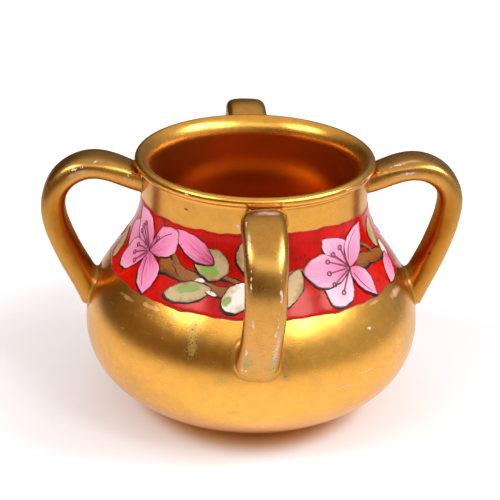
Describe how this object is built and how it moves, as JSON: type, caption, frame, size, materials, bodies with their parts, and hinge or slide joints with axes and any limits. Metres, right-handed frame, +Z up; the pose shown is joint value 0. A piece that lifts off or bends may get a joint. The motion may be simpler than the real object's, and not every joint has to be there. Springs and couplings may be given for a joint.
{
  "type": "loving cup",
  "caption": "Squat gilt porcelain cup with a rolled lip, strap handles luted round its shoulder and a red enamel band of blossom, used as a shaving mug.",
  "frame": {"origin": "centre of the foot's rest, on the surface that the cup stands on", "axes": "+Z up along the cup's turning axis, -Y towards the front handle, +X towards the right handle"},
  "size_m": [0.1172, 0.1172, 0.074],
  "materials": {
    "gilt_porcelain": "satin burnished gold over glazed porcelain",
    "gilt_handle": "satin burnished gold, worn on the edges",
    "gilt_slip": "satin gold over luting slip",
    "red_enamel": "glossy overglaze enamel with painted blossom"
  },
  "bodies": {
    "root": {"cup_body": "gilt_porcelain", "enamel_band": "red_enamel", "handle_right": "gilt_handle", "handle_back": "gilt_handle", "handle_left": "gilt_handle", "handle_front": "gilt_handle", "neck_slip_right": "gilt_slip", "neck_slip_back": "gilt_slip", "neck_slip_left": "gilt_slip", "neck_slip_front": "gilt_slip", "belly_slip_right": "gilt_slip", "belly_slip_back": "gilt_slip", "belly_slip_left": "gilt_slip", "belly_slip_front": "gilt_slip"}
  },
  "joints": []
}
